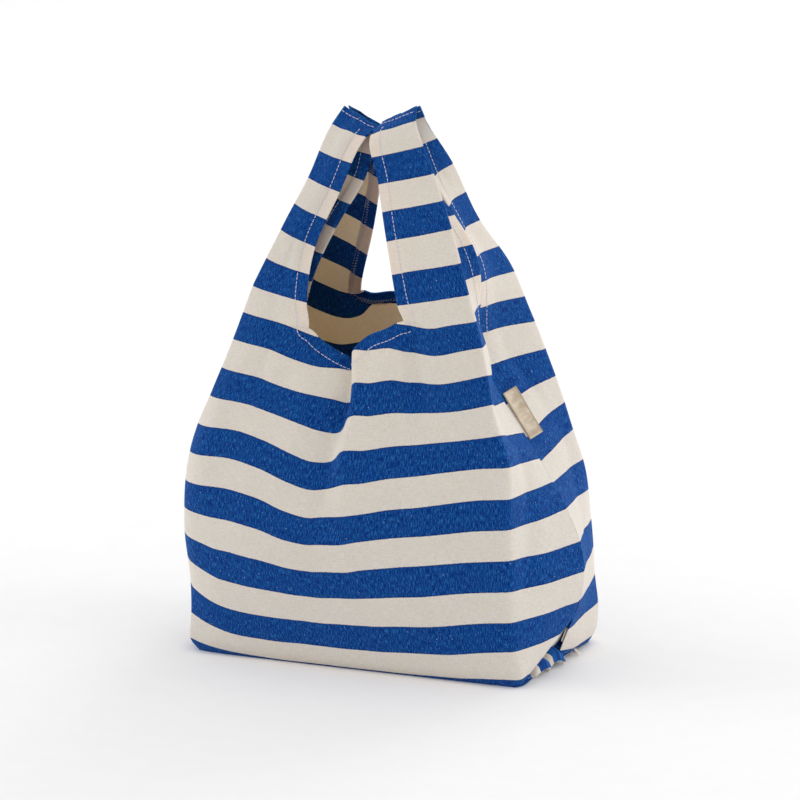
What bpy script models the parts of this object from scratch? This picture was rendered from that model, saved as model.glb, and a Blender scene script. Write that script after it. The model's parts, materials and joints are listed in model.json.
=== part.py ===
"""Vest-handle market bag of striped canvas, filled and standing, with both handles pulled up together.

Metres, +Z up. The origin is the middle of the base: +X is the bag's right side and -Y is its front.
The cloth is two panels, front and back. Each runs from one side seam round to the other and carries
two handle legs. A leg is a strip folded along its outer crease, so it has a face and a half-gusset
behind it. The side seams close the bag up to the shoulder, and above them the half-gussets are free.
"""

import bpy
from mathutils import Matrix, Vector

# Driving dimensions (m)
CLOTH = 0.0012  # canvas thickness
BASE_WIDTH = 0.280
BASE_DEPTH = 0.145
BASE_CORNER_RADIUS = 0.010
HEM = 0.009  # edge to topstitching
FOLD = 0.008  # from a crease to the next row of points, which rounds it
GAP = 0.0006  # each edge's distance from the plane of its seam
WALL_LIFT = 0.0018  # lower edge of the walls above the floor, clear of the base cloth
SHOULDER_Z = 0.255  # top of the side seams
LEG_OUTER_Z = 0.273  # where a leg leaves its panel, at the outer crease
LEG_INNER_Z = 0.282  # and at the mouth
MOUTH_DIP_Z = 0.262  # lowest point of the mouth's hem
LEG_CUT = 0.0004  # half the gap between a panel and its legs
THREAD_RADIUS = 0.00035
THREAD_LIFT = 0.0013  # thread centre to cloth centre
TOP_STITCH_SHARE = 0.6  # of the last row of the weave, up to the row across a handle's top
TOP_STITCH_TURN = 0.002  # how far it passes outside the handle's inner edge
SEAM_ALLOWANCE = 0.010
SEAM_THICKNESS = 0.0016
SEAM_CLEARANCE = 0.0035
LABEL_LENGTH = 0.042
LABEL_WIDTH = 0.014
LABEL_THICKNESS = 0.0008
LABEL_CENTRE_Z = 0.198
LABEL_STANDOFF = 0.0016
LABEL_SPREAD = (0.45, 0.84)  # x and y of the way it points from the seam

# Profiles: height, then the size there
CORNER_X = ((0.0, 0.140), (0.080, 0.139), (0.160, 0.136), (0.220, 0.120), (LEG_OUTER_Z, 0.102))
CORNER_Y = ((0.0, 0.0725), (0.160, 0.0725), (LEG_OUTER_Z, 0.066))
SEAM_X = ((0.0, 0.140), (0.070, 0.162), (0.120, 0.153), (0.160, 0.131), (0.215, 0.094), (SHOULDER_Z, 0.077))
FACE_BULGE = ((0.0, 0.003), (0.080, 0.012), (0.160, 0.012), (0.220, 0.006), (LEG_INNER_Z, -0.004))
LEG_COLUMN_X = ((0.0, 0.070), (0.160, 0.065), (LEG_INNER_Z, 0.042))  # grain line below a leg's inner edge

# A leg's edges, from the panel (0) to the handle's top (1): x, distance from the middle plane, z
OUTER_CREASE = (
    (0.0, (0.1020, 0.0660, LEG_OUTER_Z)),
    (0.3, (0.0865, 0.0500, 0.3200)),
    (0.6, (0.0640, 0.0335, 0.3690)),
    (0.85, (0.0455, 0.0180, 0.4120)),
    (1.0, (0.0350, 0.0055, 0.4410)),
)
INNER_EDGE = (
    (0.0, (0.0420, 0.0620, LEG_INNER_Z)),
    (0.3, (0.0300, 0.0500, 0.3220)),
    (0.6, (0.0155, 0.0345, 0.3670)),
    (0.85, (0.0060, 0.0180, 0.4000)),
    (1.0, (0.0035, 0.0055, 0.4200)),
)
SLIT_EDGE = (
    (0.0, (0.0770, GAP, SHOULDER_Z)),
    (0.15, (0.0775, 0.0080, 0.2810)),
    (0.3, (0.0700, 0.0110, 0.3120)),
    (0.6, (0.0500, 0.0110, 0.3620)),
    (0.8, (0.0290, 0.0070, 0.3980)),
    (1.0, (0.0085, 0.0020, 0.4225)),
)
CREASE_GAP = ((0.0, FOLD), (0.3, 0.0045), (1.0, 0.0035))  # between a leg's two layers at the crease

BODY_ROWS = 10
LEG_ROWS = 10
SEAM_ROWS = 12
MOUTH_COLUMNS = 6
BASE_ARC_STEPS = 4
SLIT_HEM, INNER_HEM, STRIP_COLUMNS = 1, 7, 9  # columns of a strip, from its slit edge to its inner one

SIDES = {"left": -1, "right": 1}
FACES = {"front": -1, "back": 1}


def blend(table, at):
    """A smooth curve through a table of (position, value), where a value is a number or a point."""
    knots = [k for k, _ in table]
    values = [Vector(v) if isinstance(v, tuple) else v for _, v in table]
    at = min(max(at, knots[0]), knots[-1])
    i = max(j for j in range(len(knots) - 1) if knots[j] <= at)

    def slope(j):
        low, high = max(j - 1, 0), min(j + 1, len(knots) - 1)
        return (values[high] - values[low]) / (knots[high] - knots[low])

    span = knots[i + 1] - knots[i]
    t = (at - knots[i]) / span
    rise = values[i] * (1 + 2 * t) * (1 - t) ** 2 + values[i + 1] * t * t * (3 - 2 * t)
    return rise + (slope(i) * t * (1 - t) ** 2 - slope(i + 1) * t * t * (1 - t)) * span


def step_towards(start, goal, distance):
    return start + (goal - start).normalized() * distance


def strip(slit, crease, inner, fold):
    """Nine points across a leg or half a panel's side: slit edge, its hem, gusset, crease, face, hem, edge."""
    towards_slit = (slit - crease).normalized()
    towards_inner = (inner - crease).normalized()
    gusset_crease = crease + towards_slit * fold
    face_crease = crease + towards_inner * fold
    crown = crease + (towards_slit + towards_inner) * fold * 0.3
    slit_hem = step_towards(slit, crease, HEM)
    inner_hem = step_towards(inner, crease, HEM)
    return [
        slit,
        slit_hem,
        slit_hem.lerp(gusset_crease, 0.5),
        gusset_crease,
        crown,
        face_crease,
        face_crease.lerp(inner_hem, 0.5),
        inner_hem,
        inner,
    ]


def face_point(across, z):
    """A point of the front or back wall, with its distance from the middle plane as y."""
    corner = blend(CORNER_X, z)
    bow = 1 - min(abs(across) / corner, 1) ** 2
    return Vector((across, blend(CORNER_Y, z) + blend(FACE_BULGE, z) * bow, z))


def wall_strip(z_slit, z_crease, z_inner):
    """The right-hand nine points of a panel at one row of the weave."""
    slit = Vector((blend(SEAM_X, z_slit), GAP, z_slit))
    crease = Vector((blend(CORNER_X, z_crease), blend(CORNER_Y, z_crease), z_crease))
    inner = face_point(blend(LEG_COLUMN_X, z_inner), z_inner)
    points = strip(slit, crease, inner, FOLD)
    for i in (5, 6, 7):
        points[i] = face_point(points[i].x, points[i].z)
    return points


def leg_strip(t):
    """The right-hand front leg's nine points, a share t of the way up it."""
    crease = blend(OUTER_CREASE, t)
    inner = blend(INNER_EDGE, t)
    slit = blend(SLIT_EDGE, t)
    gap = blend(CREASE_GAP, t)
    if t == 0:
        points = wall_strip(SHOULDER_Z, LEG_OUTER_Z, LEG_INNER_Z)
        return [p + Vector((0, 0, LEG_CUT * 2)) for p in points]
    points = strip(slit, crease, inner, gap)
    lean = 1 - abs((slit - crease).normalized().dot((inner - crease).normalized()))
    inset = gap * (1 - lean) * 0.9
    for i, share in ((3, 1.0), (2, 0.5)):
        points[i].y = min(points[i].y, crease.y - inset * share)
    return points


def turned(points, side, face):
    """Points made for the right-hand front, moved to the side and face asked for."""
    return [Vector((p.x * SIDES[side], p.y * FACES[face], p.z)) for p in points]


def material(name, colour, roughness):
    made = bpy.data.materials.new(name)
    made.use_nodes = True
    shader = made.node_tree.nodes["Principled BSDF"]
    shader.inputs["Base Color"].default_value = (*colour, 1)
    shader.inputs["Roughness"].default_value = roughness
    shader.inputs["Metallic"].default_value = 0
    return made


def place(made, look, collection, pivot=None):
    """Links an object, gives it a material, and hangs it on its joint's empty."""
    made.data.materials.append(look)
    for owner in list(made.users_collection):
        owner.objects.unlink(made)
    collection.objects.link(made)
    if pivot:
        made.parent = pivot
        made.matrix_parent_inverse = Matrix.Translation(-pivot.location)
    return made


def sheet(name, rows, look, collection, pivot=None, thickness=CLOTH):
    """A grid of points as thin cloth."""
    width = len(rows[0])
    points = [p for row in rows for p in row]
    quads = [
        (r * width + c, r * width + c + 1, (r + 1) * width + c + 1, (r + 1) * width + c)
        for r in range(len(rows) - 1)
        for c in range(width - 1)
    ]
    mesh = bpy.data.meshes.new(name)
    mesh.from_pydata(points, [], quads)
    made = place(bpy.data.objects.new(name, mesh), look, collection, pivot)
    solid = made.modifiers.new("thickness", "SOLIDIFY")
    solid.thickness = thickness
    solid.offset = 0
    return made


def thread(name, points, look, collection, pivot=None):
    """A row of stitching as one fine tube."""
    curve = bpy.data.curves.new(name, "CURVE")
    curve.dimensions = "3D"
    curve.bevel_depth = THREAD_RADIUS
    curve.bevel_resolution = 0
    curve.use_fill_caps = True
    line = curve.splines.new("POLY")
    line.points.add(len(points) - 1)
    for point, at in zip(line.points, points):
        point.co = (*at, 1)
    return place(bpy.data.objects.new(name, curve), look, collection, pivot)


def lifted(rows, row, column, side):
    """The point of a grid at (row, column), lifted off the cloth on its +1 or -1 side."""
    row %= len(rows)
    up = rows[min(row + 1, len(rows) - 1)][column] - rows[max(row - 1, 0)][column]
    across = rows[row][min(column + 1, len(rows[0]) - 1)] - rows[row][max(column - 1, 0)]
    return rows[row][column] + up.cross(across).normalized() * THREAD_LIFT * side


def top_stitches(legs, side):
    """The row across a handle's top: over the front leg's face, round its inner edge and over the back's."""
    halves = []
    for face, rows in legs.items():
        off = SIDES[side] * FACES[face]
        low, high = ([lifted(rows, r, c, -off) for c in (5, 6, 7, 8)] for r in (-2, -1))
        half = [a.lerp(b, TOP_STITCH_SHARE) for a, b in zip(low, high)]
        halves.append(half + [half[-1] - Vector((TOP_STITCH_TURN * SIDES[side], 0, 0))])
    front, back = halves
    return front + back[::-1]


def body_rows():
    """The front panel's rows, from the floor up, each from the left seam to the right one."""
    rows = []
    for r in range(BODY_ROWS + 1):
        share = min(r / (BODY_ROWS - 1), 1)
        hem = 0 if r == BODY_ROWS else HEM

        def height(top):
            return WALL_LIFT + (top - hem - WALL_LIFT) * share

        right = wall_strip(height(SHOULDER_Z), height(LEG_OUTER_Z), height(LEG_INNER_Z))
        inner = right[-1].x
        middle = []
        for c in range(1, MOUTH_COLUMNS):
            across = 1 - 2 * c / MOUTH_COLUMNS
            top = MOUTH_DIP_Z + (LEG_INNER_Z - MOUTH_DIP_Z) * across**2
            middle.append(face_point(inner * across, height(top)))
        left = [Vector((-p.x, p.y, p.z)) for p in reversed(right)]
        rows.append(right + middle + left)
    return [[Vector((-p.x, -p.y, p.z)) for p in row] for row in rows]


def make_body(canvas, sewing, collection):
    front = body_rows()
    back = [[Vector((p.x, -p.y, p.z)) for p in row] for row in front]
    hem_row = BODY_ROWS - 1
    mouth = range(STRIP_COLUMNS - 1, STRIP_COLUMNS + MOUTH_COLUMNS)
    for face, rows, outside in (("front", front, -1), ("back", back, 1)):
        sheet(f"{face}_panel", rows, canvas, collection)
        stitches = [lifted(rows, hem_row, c, outside) for c in mouth]
        thread(f"{face}_mouth_stitching", stitches, sewing, collection)


def make_base(canvas, collection):
    """The cloth under the bag: a flat sheet with round corners, a little wider than the walls' lower edge."""
    bpy.ops.mesh.primitive_plane_add(size=1, location=(0, 0, CLOTH / 2))
    made = bpy.context.object
    made.name = "bottom_panel"
    made.scale = (BASE_WIDTH + CLOTH, BASE_DEPTH + CLOTH, 1)
    bpy.ops.object.transform_apply(location=False, rotation=False, scale=True)
    place(made, canvas, collection)
    corners = made.modifiers.new("round corners", "BEVEL")
    corners.affect = "VERTICES"
    corners.width = BASE_CORNER_RADIUS
    corners.segments = BASE_ARC_STEPS
    solid = made.modifiers.new("thickness", "SOLIDIFY")
    solid.thickness = CLOTH
    solid.offset = 0


def make_side_seam(side, canvas, collection):
    """The two panels' seam allowances, overlocked together, inside the bag."""
    low, high = 0.006, SHOULDER_Z - 0.002
    rows = []
    for r in range(SEAM_ROWS + 1):
        z = low + (high - low) * r / SEAM_ROWS
        outer = blend(SEAM_X, z) - SEAM_CLEARANCE
        rows.append([Vector((x * SIDES[side], 0, z)) for x in (outer, outer - SEAM_ALLOWANCE)])
    sheet(f"{side}_side_seam", rows, canvas, collection, thickness=SEAM_THICKNESS)


def seam_point(z):
    return Vector((blend(SEAM_X, z), 0, z))


def label_axes():
    """The label's middle on the right side seam, the way along the seam, and the way it points from it."""
    half = LABEL_LENGTH / 2
    middle = seam_point(LABEL_CENTRE_Z)
    along = (seam_point(LABEL_CENTRE_Z - half) - seam_point(LABEL_CENTRE_Z + half)).normalized()
    x, y = LABEL_SPREAD
    spread = Vector((x, y, -x * along.x / along.z)).normalized()
    outward = Vector((-along.z, 0, along.x))
    return middle + outward * LABEL_STANDOFF, along, spread


def make_label(satin, collection):
    middle, along, spread = label_axes()
    pivot = bpy.data.objects.new("label_pivot", None)
    pivot.location = middle
    collection.objects.link(pivot)
    bpy.ops.mesh.primitive_cube_add(size=1)
    made = bpy.context.object
    made.name = "side_label"
    made.scale = (LABEL_LENGTH, LABEL_WIDTH, LABEL_THICKNESS)
    bpy.ops.object.transform_apply(location=False, rotation=False, scale=True)
    place(made, satin, collection, pivot)
    frame = Matrix((along, spread, along.cross(spread))).transposed().to_4x4()
    centre = middle + spread * (LABEL_WIDTH / 2 + THREAD_LIFT)
    made.matrix_basis = Matrix.Translation(centre) @ frame


def make_handle(side, canvas, sewing, collection):
    """One handle: a front and a back leg, sewn together across their tops."""
    pivot = bpy.data.objects.new(f"{side}_handle_pivot", None)
    pivot.location = turned([blend(OUTER_CREASE, 0)], side, "front")[0]
    pivot.location.y = 0
    collection.objects.link(pivot)
    legs = {}
    for face in FACES:
        rows = [turned(leg_strip(r / LEG_ROWS), side, face) for r in range(LEG_ROWS + 1)]
        legs[face] = rows
        off = SIDES[side] * FACES[face]
        sheet(f"{side}_{face}_leg", rows, canvas, collection, pivot)
        for edge, column in (("hem", INNER_HEM), ("slit", SLIT_HEM)):
            stitches = [lifted(rows, r, column, -off) for r in range(LEG_ROWS)]
            thread(f"{side}_{face}_{edge}_stitching", stitches, sewing, collection, pivot)
    thread(f"{side}_top_stitching", top_stitches(legs, side), sewing, collection, pivot)


def main():
    for old in list(bpy.data.objects):
        bpy.data.objects.remove(old, do_unlink=True)
    bag = bpy.data.collections.new("striped_vest_handle_bag")
    bpy.context.scene.collection.children.link(bag)
    canvas = material("striped_canvas", (0.05, 0.13, 0.42), 0.9)
    lining = material("natural_canvas", (0.80, 0.74, 0.64), 0.9)
    sewing = material("sewing_thread", (0.86, 0.85, 0.83), 0.7)
    satin = material("label_satin", (0.42, 0.37, 0.31), 0.4)
    make_body(canvas, sewing, bag)
    make_base(canvas, bag)
    make_label(satin, bag)
    for side in SIDES:
        make_side_seam(side, lining, bag)
        make_handle(side, canvas, sewing, bag)


main()
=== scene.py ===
"""Striped canvas vest-handle bag: the looks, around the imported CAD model. Lengths are centimetres until a
mesh is made, and metres after that."""

import json
import math

import bpy
import numpy as np
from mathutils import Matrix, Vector
from mathutils.kdtree import KDTree


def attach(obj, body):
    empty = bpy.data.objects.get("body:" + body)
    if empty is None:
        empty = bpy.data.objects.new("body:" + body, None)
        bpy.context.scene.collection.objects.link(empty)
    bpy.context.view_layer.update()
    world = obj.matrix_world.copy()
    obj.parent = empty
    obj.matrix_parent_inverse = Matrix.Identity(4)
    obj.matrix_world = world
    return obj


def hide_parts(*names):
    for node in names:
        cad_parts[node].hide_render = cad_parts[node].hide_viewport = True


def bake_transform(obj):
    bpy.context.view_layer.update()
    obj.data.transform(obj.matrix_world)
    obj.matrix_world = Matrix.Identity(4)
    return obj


CM = 0.01

# The weave's stripes, counted along the cloth from the bottom fold
PERIOD = 5.0
BLUE = 2.52
BLUE_TOP = 0.15  # how far each blue stripe reaches above a whole period

# Cloth
THICK = 0.09
HEM_THICK = 0.2
HEM = 0.95
CELL = 0.25  # of the grid that the cloth is made of
SEAM_HALF_GAP = 0.04  # between each panel's edge and the plane of the side seams
NO_HEM = 9.0  # the distance to a hem on a piece that has none

# Sewing
THREAD_RADIUS = 0.03
LOCK_RADIUS = 0.026
LOCK_SIDES = 4
STITCH_LEVEL = 0.86  # from a hem's edge
LOCK_LEVELS = (0.98, 0.56)  # the two sides of the overlock, inside the hem
CROWN_LEVEL = 0.42  # from a leg's top edge
TOP_ROWS = 4  # at a leg's top, which its side stitching leaves out

# Where the panel's columns lie across the flat cloth, from the left seam to the right one
COLUMNS = np.array([-21.2, -17.5, -14, -11.5, -9, -6.5, -4, -2, -0.6,
                    0.6, 2.2, 4.2, 6.5, 9, 11.5, 14, 17.5, 21.2])
LEFT_CREASE, LEFT_EDGE, RIGHT_EDGE, RIGHT_CREASE = 2, 5, 12, 15
BODY_HEIGHTS = (0, 0.8, 2.5, 6, 10, 14, 18, 21.5)
CUT = 27.5  # row position where the legs leave the panel
CUT_WEAVE = 29.5  # and the weave's count there, about
LEG_WEAVE = (32.7, 37.7, 42.7, 47.7, 49.4)  # up a leg, from stripe to stripe
LEG_ROWS = tuple(CUT + v - CUT_WEAVE for v in LEG_WEAVE)

# Upright lines of the filled bag: height, x, y
FRONT_LEFT = ((0, -13.7, -7.0), (0.8, -14.3, -7.4), (2.5, -14.4, -7.6), (6, -14.5, -7.7), (10, -15.1, -7.9),
              (13, -15.4, -7.9), (18, -14.8, -7.7), (21.5, -13.3, -7.4))
FRONT_RIGHT = ((0, 13.7, -6.9), (0.8, 14.0, -7.3), (3, 13.5, -7.35), (8, 13.3, -7.3), (13.3, 13.0, -7.3),
               (17.9, 12.9, -7.2), (21.5, 11.8, -7.0))
BACK_LEFT = ((0, -13.6, 6.9), (0.8, -14.1, 7.3), (3, -14.0, 7.4), (13, -14.3, 7.5), (18, -13.6, 7.2),
             (21.5, -12.2, 7.0))
BACK_RIGHT = ((0, 14.2, 6.9), (0.8, 14.6, 7.2), (4, 14.7, 7.3), (8, 14.4, 7.3), (12.3, 14.0, 7.3),
              (15.6, 13.4, 7.2), (18, 12.7, 7.0), (21.5, 11.5, 6.9))
SEAM_LEFT = ((0, -13.9, 0), (4, -15.3, 0), (8, -16.0, 0), (13, -14.7, 0), (17, -12.6, 0), (21.5, -9.6, 0))
SEAM_RIGHT = ((0, 14.0, 0), (4, 15.5, 0), (7, 16.4, 0), (9.5, 16.3, 0), (12.9, 14.9, 0), (16.2, 13.0, 0),
              (18.2, 11.7, 0), (21.5, 9.4, 0))

# Profiles by height: how far a face swells, then where the front's pleat is, its half width and its depth
BULGE = ((0, 0.1), (0.8, 0.4), (2.5, 0.8), (6, 1.1), (10, 1.25), (14, 1.15), (18, 0.8), (21.5, 0.35))
PLEAT_X = ((0, 0), (6, -0.6), (10, -1.7), (14, -1.3), (18, -1.2), (21.5, -0.35))
PLEAT_HALF = ((0, 0.6), (6, 0.7), (10, 0.9), (14, 0.75), (18, 0.5), (21.5, 0.28))
PLEAT_DEPTH = ((0, 0), (6, 0), (10, 0.06), (14, 0.22), (18, 0.55), (21.5, 0.85))
PLEAT_REACH = 5.0  # how far across the face the pleat pulls the cloth

# How high the right gusset's foot is lifted off the floor: column and lift, fading out up to FOOT_FADE
FRONT_FOOT = ((16, 2.0), (17, 4.0))
BACK_FOOT = ((16, 0.5), (17, 1.2))
FOOT_FADE = 10

# How far the weave's count runs ahead of the height, by row and column
FRONT_SLIP = (
    (-1.0, -1.1, -1.3, -0.7, -0.3, -0.1, -0.1, -0.1, -0.1,
     -0.1, -0.1, -0.1, -0.2, -0.3, -0.6, -0.9, -0.5, -0.5),
    (-0.9, -1.0, -1.1, -0.2, 0.3, 0.4, 0.4, 0.35, 0.35, 0.35, 0.3, 0.2, 0.1, -0.1, -0.4, -0.6, -0.4, -0.4),
    (-0.8, -0.8, -0.8, 0.2, 0.8, 0.9, 0.9, 0.85, 0.8, 0.8, 0.75, 0.6, 0.45, 0.25, -0.15, -0.4, -0.3, -0.3),
    (-0.3, -0.3, -0.2, 0.9, 1.35, 1.5, 1.65, 1.65, 1.5, 1.4, 1.2, 0.95, 0.7, 0.35, 0.0, -0.2, -0.2, -0.3),
    (0.5, 0.5, 0.6, 1.1, 1.25, 1.55, 2.1, 2.3, 2.2, 2.0, 1.6, 1.15, 0.7, 0.3, -0.05, -0.3, -0.1, -0.2),
    (1.2, 1.2, 1.15, 1.1, 1.1, 1.5, 2.35, 2.8, 2.6, 2.2, 1.9, 1.4, 0.95, 0.45, 0.0, -0.25, -0.1, -0.1),
    (1.5, 1.5, 1.45, 1.3, 1.3, 1.85, 2.65, 3.25, 3.2, 2.0, 1.75, 1.35, 0.95, 0.45, 0.0, -0.3, 0.4, 1.3),
    (1.8, 1.7, 1.6, 1.65, 1.85, 2.4, 2.85, 3.2, 3.4, 1.7, 1.45, 1.2, 1.05, 0.75, 0.3, -0.3, 0.8, 1.6),
)
BACK_SLIP = (
    (-1.0, -1.1, -1.2, -0.7, -0.3, -0.1, -0.1, -0.1, -0.1,
     -0.1, -0.1, -0.1, -0.2, -0.3, -0.5, -0.7, -0.5, -0.5),
    (-0.9, -1.0, -1.0, -0.2, 0.3, 0.4, 0.4, 0.35, 0.35, 0.35, 0.3, 0.3, 0.2, 0.0, -0.3, -0.4, -0.4, -0.4),
    (-0.8, -0.8, -0.7, 0.2, 0.8, 0.9, 0.9, 0.85, 0.8, 0.8, 0.75, 0.7, 0.5, 0.4, 0.0, -0.6, -0.6, -0.4),
    (-0.3, -0.3, -0.1, 0.9, 1.3, 1.4, 1.4, 1.3, 1.2, 1.2, 1.15, 1.0, 0.8, 0.6, 0.1, -0.4, -0.5, -0.4),
    (0.5, 0.5, 0.7, 1.3, 1.6, 1.7, 1.7, 1.5, 1.4, 1.3, 1.25, 1.1, 0.9, 0.6, 0.2, 0.0, -0.2, -0.2),
    (1.2, 1.2, 1.2, 1.5, 1.9, 2.0, 1.9, 1.6, 1.4, 1.3, 1.25, 1.1, 0.9, 0.7, 0.4, 0.2, 0.0, -0.1),
    (1.5, 1.5, 1.5, 1.8, 2.2, 2.3, 2.0, 1.6, 1.3, 1.2, 1.2, 1.1, 1.0, 0.8, 0.5, 0.3, 0.9, 1.7),
    (2.0, 2.0, 2.0, 2.4, 2.8, 2.6, 1.9, 1.4, 1.2, 1.2, 1.2, 1.2, 1.2, 1.2, 1.1, 1.0, 1.3, 1.8),
)

# The row where the legs leave the panel and the mouth's hem runs: x, y, z, weave count
FRONT_TOP = (
    (-7.7, -0.04, 25.8, 28.9), (-9.1, -3.4, 26.4, 28.9), (-10.5, -6.5, 27.2, 29.2), (-8.6, -6.7, 27.2, 29.4),
    (-6.6, -6.6, 27.2, 29.8), (-4.4, -6.35, 27.2, 30.5), (-3.1, -6.2, 26.2, 29.8), (-1.7, -6.0, 25.4, 28.9),
    (-0.75, -5.6, 24.95, 28.4), (-0.3, -7.05, 26.0, 27.7), (0.8, -7.1, 27.2, 28.6), (2.4, -7.0, 28.0, 29.4),
    (3.9, -6.65, 28.7, 30.4), (6.2, -6.8, 28.3, 29.95), (8.3, -6.7, 27.9, 28.9), (10.4, -6.5, 27.5, 27.9),
    (9.2, -3.2, 26.9, 27.9), (7.6, -0.04, 26.2, 27.4))
BACK_TOP = (
    (-7.7, 0.04, 25.8, 28.9), (-8.8, 3.3, 26.3, 28.9), (-9.9, 6.4, 26.9, 29.0), (-8.6, 6.6, 26.9, 29.8),
    (-6.9, 6.6, 26.9, 30.4), (-5.1, 6.4, 27.0, 30.4), (-3.9, 6.4, 26.85, 29.0), (-2.2, 6.4, 27.15, 28.6),
    (-0.6, 6.3, 27.1, 28.3), (0.6, 6.3, 27.0, 28.2), (2.2, 6.3, 26.9, 28.2), (3.8, 6.3, 26.9, 28.7),
    (4.8, 6.3, 27.4, 29.4), (6.6, 6.5, 27.1, 29.2), (8.2, 6.5, 26.9, 28.8), (9.5, 6.3, 26.8, 28.6),
    (8.5, 3.2, 26.5, 27.9), (7.6, 0.04, 26.2, 27.4))

# Each leg at LEG_WEAVE's counts: its slit edge, outer crease and mouth-side edge
LEGS = {
    ("front", "left"): (
        ((-5.75, -2.2, 30.0), (-9.45, -5.9, 30.1), (-4.7, -6.0, 29.3)),
        ((-3.7, -2.2, 34.5), (-7.5, -4.7, 34.6), (-4.4, -4.9, 33.6)),
        ((-1.45, -1.9, 38.5), (-5.75, -3.2, 38.65), (-2.8, -3.7, 37.9)),
        ((-1.0, -0.4, 41.9), (-4.4, -1.4, 42.7), (-1.3, -1.9, 42.0)),
        ((-0.95, -0.08, 42.3), (-3.85, -0.22, 43.9), (-0.9, -0.22, 42.5))),
    ("front", "right"): (
        ((7.75, -0.3, 31.4), (8.95, -5.6, 31.2), (3.2, -6.2, 29.9)),
        ((5.5, -0.3, 36.0), (6.96, -4.2, 36.0), (1.68, -4.8, 34.6)),
        ((2.2, -0.6, 39.6), (4.85, -2.75, 39.9), (0.32, -3.2, 38.7)),
        ((-0.2, -0.6, 42.6), (2.75, -1.1, 43.6), (-0.8, -1.9, 42.25)),
        ((-0.5, -0.08, 42.8), (2.5, -0.22, 44.5), (-0.8, -0.22, 42.6))),
    ("back", "left"): (
        ((-6.9, 0.3, 29.6), (-9.0, 5.6, 30.0), (-4.6, 5.5, 28.4)),
        ((-5.0, 0.3, 34.2), (-7.0, 4.3, 34.4), (-3.4, 4.8, 32.7)),
        ((-3.0, 0.4, 38.4), (-5.2, 3.0, 38.6), (-2.2, 3.5, 37.2)),
        ((-1.4, 0.4, 41.8), (-3.8, 1.2, 42.6), (-1.2, 1.6, 41.7)),
        ((-1.0, 0.08, 42.3), (-3.8, 0.22, 43.9), (-0.9, 0.22, 42.5))),
    ("back", "right"): (
        ((7.75, -0.1, 30.7), (8.45, 5.5, 30.25), (3.6, 5.6, 29.9)),
        ((6.2, 0.0, 34.6), (5.93, 4.2, 34.5), (2.4, 4.3, 34.4)),
        ((3.5, 0.2, 38.6), (4.2, 2.8, 39.3), (1.0, 3.0, 38.6)),
        ((0.6, 0.4, 42.7), (2.6, 0.95, 43.4), (-0.6, 1.4, 42.1)),
        ((-0.4, 0.08, 42.9), (2.5, 0.22, 44.4), (-0.75, 0.22, 42.6))),
}


def spline(knots, values, at):
    """Smooth curve through values (any shape past the first axis) at the knots, read at other positions."""
    knots, values, at = np.asarray(knots, float), np.asarray(values, float), np.asarray(at, float)
    slopes = np.empty_like(values)
    gaps = np.diff(knots).reshape(-1, *[1] * (values.ndim - 1))
    chords = np.diff(values, axis=0) / gaps
    slopes[0], slopes[-1] = chords[0], chords[-1]
    slopes[1:-1] = (chords[:-1] * gaps[1:] + chords[1:] * gaps[:-1]) / (gaps[1:] + gaps[:-1])
    i = np.clip(np.searchsorted(knots, at, "right") - 1, 0, len(knots) - 2)
    shape = (-1, *[1] * (values.ndim - 1))
    h = (knots[i + 1] - knots[i]).reshape(shape)
    t = ((at - knots[i]) / (knots[i + 1] - knots[i])).reshape(shape)
    return (values[i] * (1 + 2 * t) * (1 - t) ** 2 + values[i + 1] * t * t * (3 - 2 * t)
            + (slopes[i] * t * (1 - t) ** 2 - slopes[i + 1] * t * t * (1 - t)) * h)


def line(table, at):
    """An upright line or profile's values at one height."""
    table = np.array(table, float)
    return spline(table[:, 0], table[:, 1:], [at])[0]


def body_cage(face):
    """Control points (x, y, z, weave count) of a panel below its legs, by height and column."""
    front = face == "front"
    corners = (FRONT_LEFT, FRONT_RIGHT) if front else (BACK_LEFT, BACK_RIGHT)
    slip = FRONT_SLIP if front else BACK_SLIP
    side = -1 if front else 1
    cage = np.zeros((len(BODY_HEIGHTS) + 1, len(COLUMNS), 4))
    across = COLUMNS[LEFT_CREASE:RIGHT_CREASE + 1]
    share = (across - across[0]) / (across[-1] - across[0])
    for r, z in enumerate(BODY_HEIGHTS):
        left, right = line(corners[0], z), line(corners[1], z)
        wall = left + (right - left) * share[:, None]
        wall[:, 1] += side * line(BULGE, z) * (1 - np.abs(2 * share - 1) ** 2.4)
        if front:
            near = np.exp(-((across / PLEAT_REACH) ** 2))
            middle = (left[0] + right[0]) / 2
            wall[:, 0] += (line(PLEAT_X, z)[0] - middle) * near
            valley, crest = (list(across).index(u) for u in (-0.6, 0.6))  # the columns on either side
            half, depth = line(PLEAT_HALF, z)[0], line(PLEAT_DEPTH, z)[0]
            wall[valley, 0], wall[crest, 0] = (line(PLEAT_X, z)[0] + s * half for s in (-1, 1))
            wall[valley, 1] += depth
            wall[valley - 1, 1] += depth * 0.5
            wall[crest, 1] -= depth * 0.8
            wall[crest + 1, 1] -= depth * 0.6
        cage[r, LEFT_CREASE:RIGHT_CREASE + 1, :2] = wall
        off_seam = np.array([0, side * SEAM_HALF_GAP])
        at = line(SEAM_LEFT, z) + off_seam
        cage[r, 0, :2] = at
        cage[r, 1, :2] = (at + cage[r, LEFT_CREASE, :2]) / 2
        height = np.full(len(COLUMNS), float(z))
        for column, lift in FRONT_FOOT if front else BACK_FOOT:
            height[column] = z + lift * max(0, 1 - z / FOOT_FADE)
        at = line(SEAM_RIGHT, height[17]) + off_seam
        cage[r, 17, :2] = at
        cage[r, 16, :2] = (at + line(corners[1], height[16])) / 2
        cage[r, :, 2] = height
        cage[r, :, 3] = height + np.array(slip[r])
    cage[-1] = np.array(FRONT_TOP if front else BACK_TOP)
    return cage


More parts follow.
